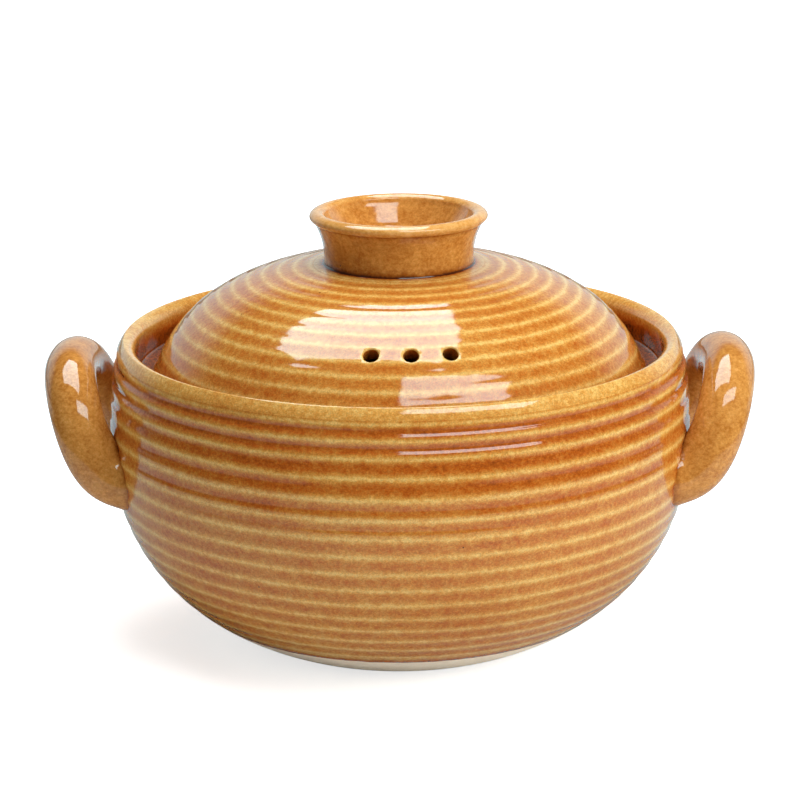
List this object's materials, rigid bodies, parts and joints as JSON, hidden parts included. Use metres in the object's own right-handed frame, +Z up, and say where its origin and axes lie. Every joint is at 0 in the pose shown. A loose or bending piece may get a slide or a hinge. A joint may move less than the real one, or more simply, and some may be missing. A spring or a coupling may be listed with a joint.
{
  "type": "ceramic casserole",
  "caption": "Round ribbed stoneware casserole with arched ear handles and a ribbed dome lid that drops inside the rim and lifts off by a hollow flared knob.",
  "frame": {"origin": "centre of the base, on the surface that the pot stands on", "axes": "+Z up along the axis of the bowl, lid and knob; +X towards the right handle; -Y towards the steam holes"},
  "size_m": [0.2616, 0.2152, 0.1595],
  "materials": {
    "bowl_glaze": "glossy",
    "handle_glaze": "glossy",
    "lid_glaze": "glossy",
    "knob_glaze": "glossy"
  },
  "bodies": {
    "pot": {"bowl": "bowl_glaze", "right_handle": "handle_glaze", "left_handle": "handle_glaze"},
    "cover": {"lid": "lid_glaze", "lid_knob": "knob_glaze"}
  },
  "joints": [
    {"name": "lid_lift", "type": "slide", "parent": "pot", "child": "cover", "axis": [0, 0, 1], "range_m": [0, 0.12]}
  ]
}
